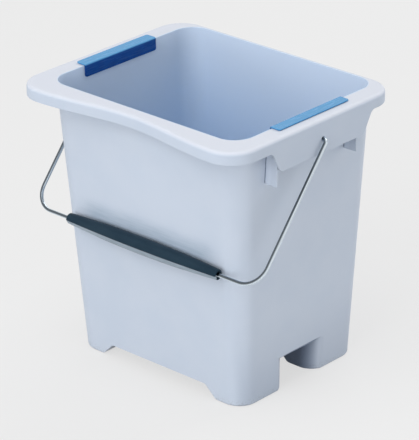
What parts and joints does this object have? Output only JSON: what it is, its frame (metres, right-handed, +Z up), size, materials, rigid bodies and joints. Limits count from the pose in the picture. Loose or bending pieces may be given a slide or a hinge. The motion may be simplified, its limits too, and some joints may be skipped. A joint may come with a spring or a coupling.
{
  "type": "trolley bucket",
  "caption": "Rectangular tapered plastic bucket with a wide flanged rim, a swinging wire bail with a plastic grip, colour-code rim clips and corner feet, for a cleaning trolley.",
  "frame": {"origin": "on the floor, under the middle of the rim's outline", "axes": "+Z up, +X along the long side, +Y from the front, where the bail hangs, to the back"},
  "size_m": [0.3444, 0.2776, 0.3401],
  "materials": {
    "bucket_plastic": "satin moulded, pale blue-grey",
    "bail_steel": "bright drawn wire",
    "grip_plastic": "satin, dark slate",
    "clip_plastic": "smooth, mid blue"
  },
  "bodies": {
    "bucket": {"bucket_body": "bucket_plastic", "clip_left": "clip_plastic", "clip_right": "clip_plastic"},
    "bail": {"bail_wire": "bail_steel", "bail_grip": "grip_plastic"}
  },
  "joints": [
    {"name": "bail_swing", "type": "hinge", "parent": "bucket", "child": "bail", "pos_m": [0, 0.0088, 0.3145], "axis": [-1, 0, 0], "range_deg": [0, 274]}
  ]
}
